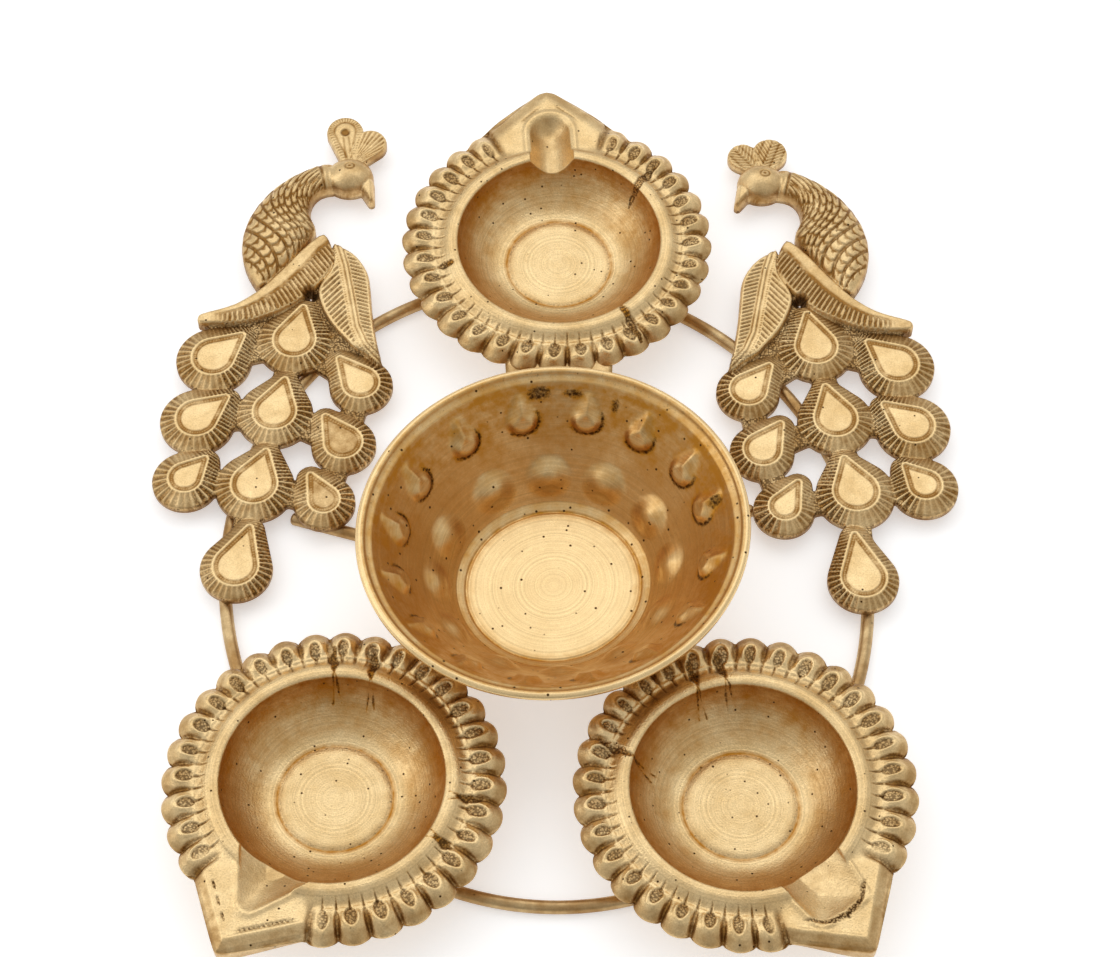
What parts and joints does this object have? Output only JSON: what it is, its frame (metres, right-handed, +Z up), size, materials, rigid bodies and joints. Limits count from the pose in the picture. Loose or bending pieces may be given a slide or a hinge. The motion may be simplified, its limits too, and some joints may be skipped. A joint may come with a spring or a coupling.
{
  "type": "brass diya urli",
  "caption": "Round brass flower bowl with oil lamps and feathered peacocks brazed to a rod ring, a table centrepiece for floating petals and lit wicks.",
  "frame": {"origin": "middle of the bowl's flat underside, on the table", "axes": "+Z up, +Y towards the lamp at the back, +X to the viewer's right"},
  "size_m": [0.2492, 0.3045, 0.0382],
  "materials": {
    "cast_brass": "sand-cast, tumbled satin, dark patina in the recesses",
    "turned_brass": "turned and lightly polished, aged",
    "drawn_brass": "drawn rod, dull and aged"
  },
  "bodies": {
    "root": {"base_ring": "drawn_brass", "urli_bowl": "turned_brass", "diya_back": "cast_brass", "diya_left": "cast_brass", "diya_right": "cast_brass", "peacock_left": "cast_brass", "strut_left": "drawn_brass", "peacock_right": "cast_brass", "strut_right": "drawn_brass"}
  },
  "joints": []
}
